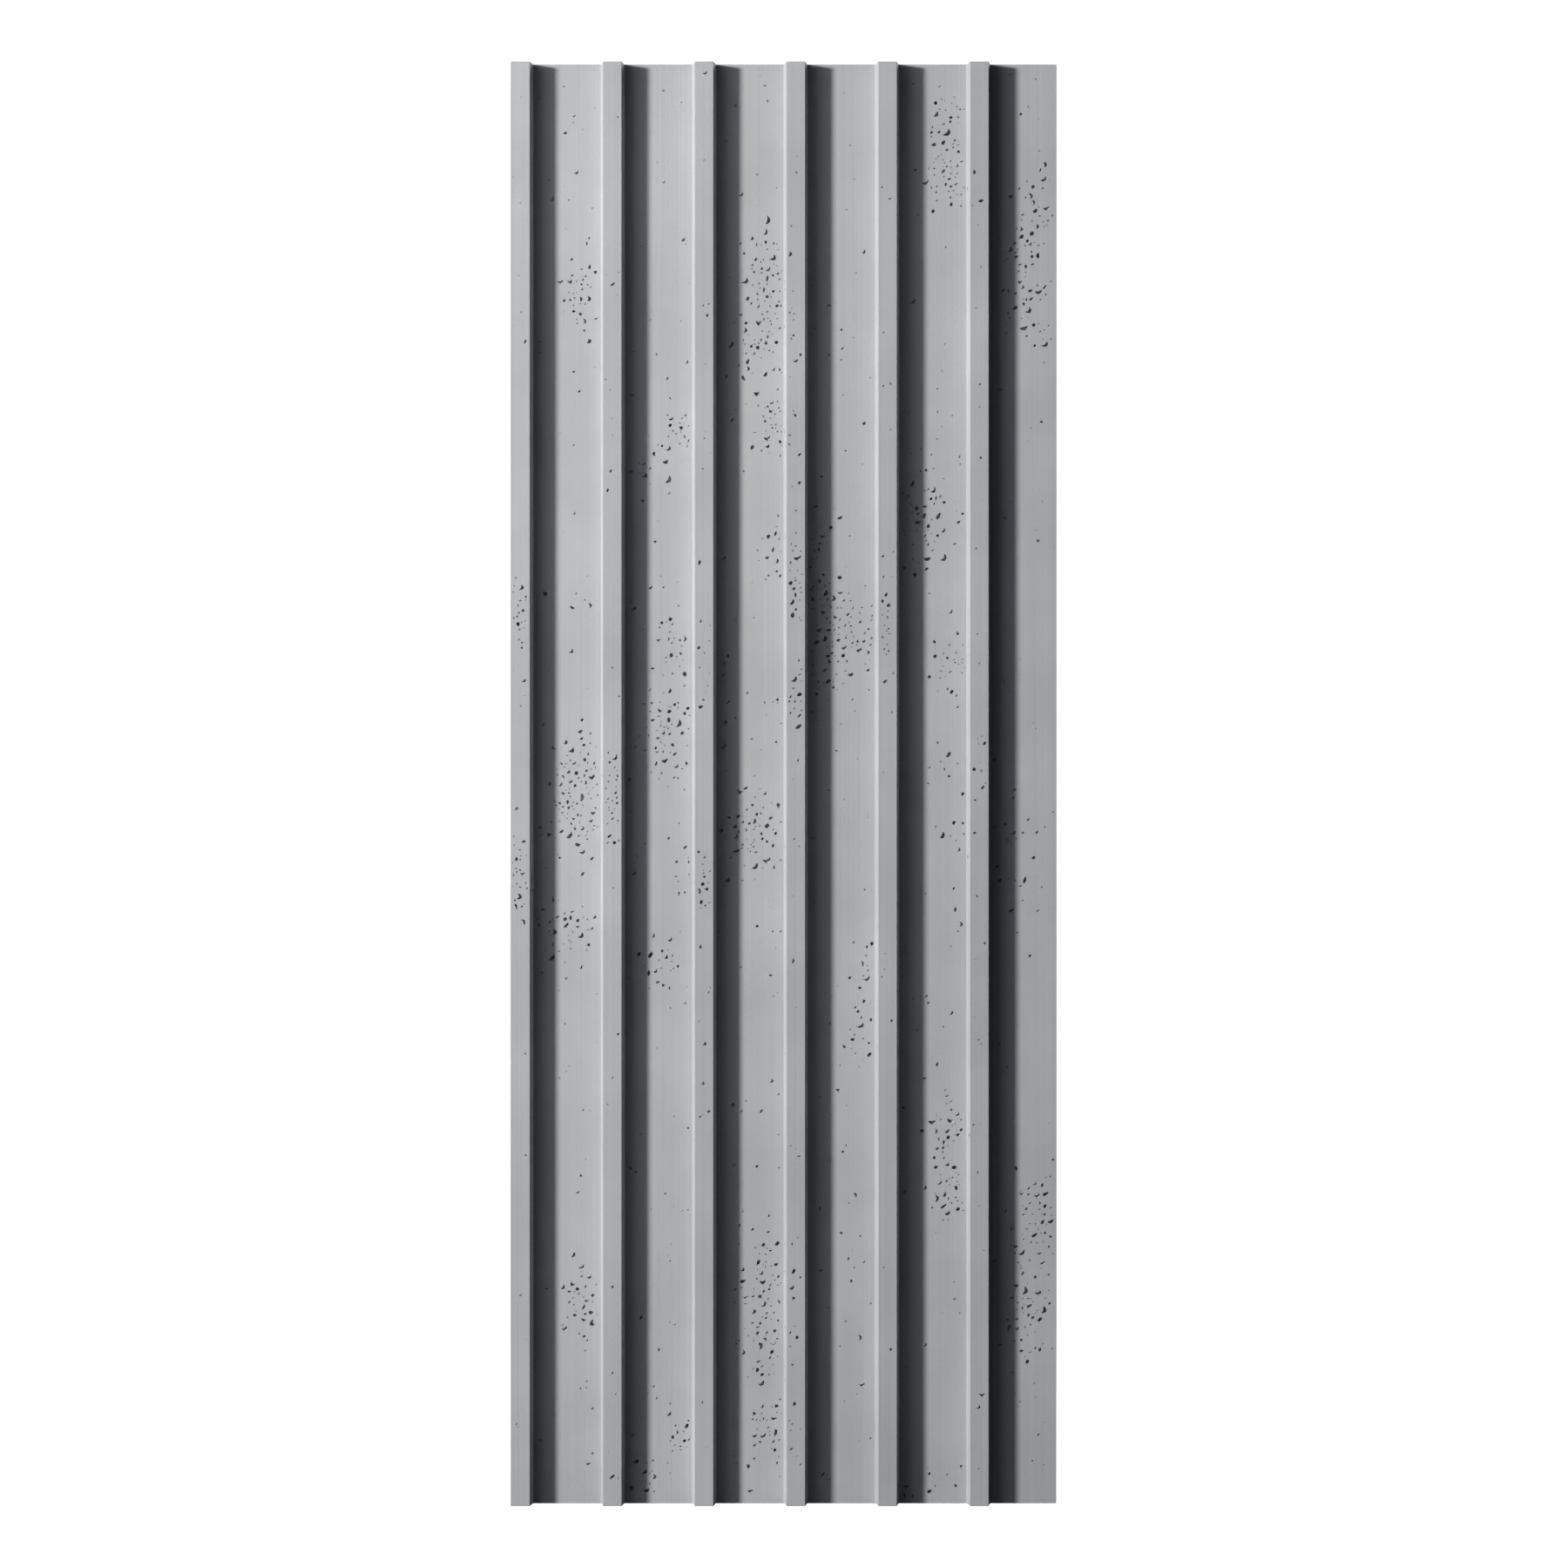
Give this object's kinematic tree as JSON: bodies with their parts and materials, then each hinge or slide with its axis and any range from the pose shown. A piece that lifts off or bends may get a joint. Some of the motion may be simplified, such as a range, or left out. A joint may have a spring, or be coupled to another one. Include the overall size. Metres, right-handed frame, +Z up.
{
  "type": "ribbed wall panel",
  "caption": "Ribbed architectural-concrete wall panel with tapered upright ribs on a thin slab, hung on wall rails by hook hangers with levelling screws.",
  "frame": {"origin": "on the panel's centre line and back face, level with the top edge of the upper wall rail", "axes": "+X right as seen from the front, -Y out of the ribbed front, +Y towards the wall, +Z up"},
  "size_m": [0.4544, 0.055, 1.2],
  "materials": {
    "cast_concrete": "matte",
    "glass_textile": "matte",
    "stainless_steel": "satin",
    "extruded_aluminium": "satin",
    "pad_rubber": "matte"
  },
  "bodies": {
    "panel": {"panel_casting": "cast_concrete", "reinforcement_grid": "glass_textile", "rib_bar_1": "stainless_steel", "rib_bar_2": "stainless_steel", "rib_bar_3": "stainless_steel", "rib_bar_4": "stainless_steel", "rib_bar_5": "stainless_steel", "rib_bar_6": "stainless_steel", "anchor_pin_upper_left": "stainless_steel", "threaded_socket_upper_left": "stainless_steel", "isolator_pad_upper_left": "pad_rubber", "hanger_upper_left": "extruded_aluminium", "washer_upper_left": "stainless_steel", "hanger_bolt_upper_left": "stainless_steel", "anchor_pin_upper_right": "stainless_steel", "threaded_socket_upper_right": "stainless_steel", "isolator_pad_upper_right": "pad_rubber", "hanger_upper_right": "extruded_aluminium", "washer_upper_right": "stainless_steel", "hanger_bolt_upper_right": "stainless_steel", "anchor_pin_lower_left": "stainless_steel", "threaded_socket_lower_left": "stainless_steel", "isolator_pad_lower_left": "pad_rubber", "hanger_lower_left": "extruded_aluminium", "washer_lower_left": "stainless_steel", "hanger_bolt_lower_left": "stainless_steel", "anchor_pin_lower_right": "stainless_steel", "threaded_socket_lower_right": "stainless_steel", "isolator_pad_lower_right": "pad_rubber", "hanger_lower_right": "extruded_aluminium", "washer_lower_right": "stainless_steel", "hanger_bolt_lower_right": "stainless_steel", "lock_nut_left": "stainless_steel", "lock_nut_right": "stainless_steel"},
    "screw_left": {"levelling_screw_left": "stainless_steel"},
    "screw_right": {"levelling_screw_right": "stainless_steel"}
  },
  "joints": [
    {"name": "levelling_left", "type": "slide", "parent": "panel", "child": "screw_left", "axis": [0, 0, 1], "range_m": [-0.005, 0.005]},
    {"name": "levelling_right", "type": "slide", "parent": "panel", "child": "screw_right", "axis": [0, 0, 1], "range_m": [-0.005, 0.005]}
  ]
}
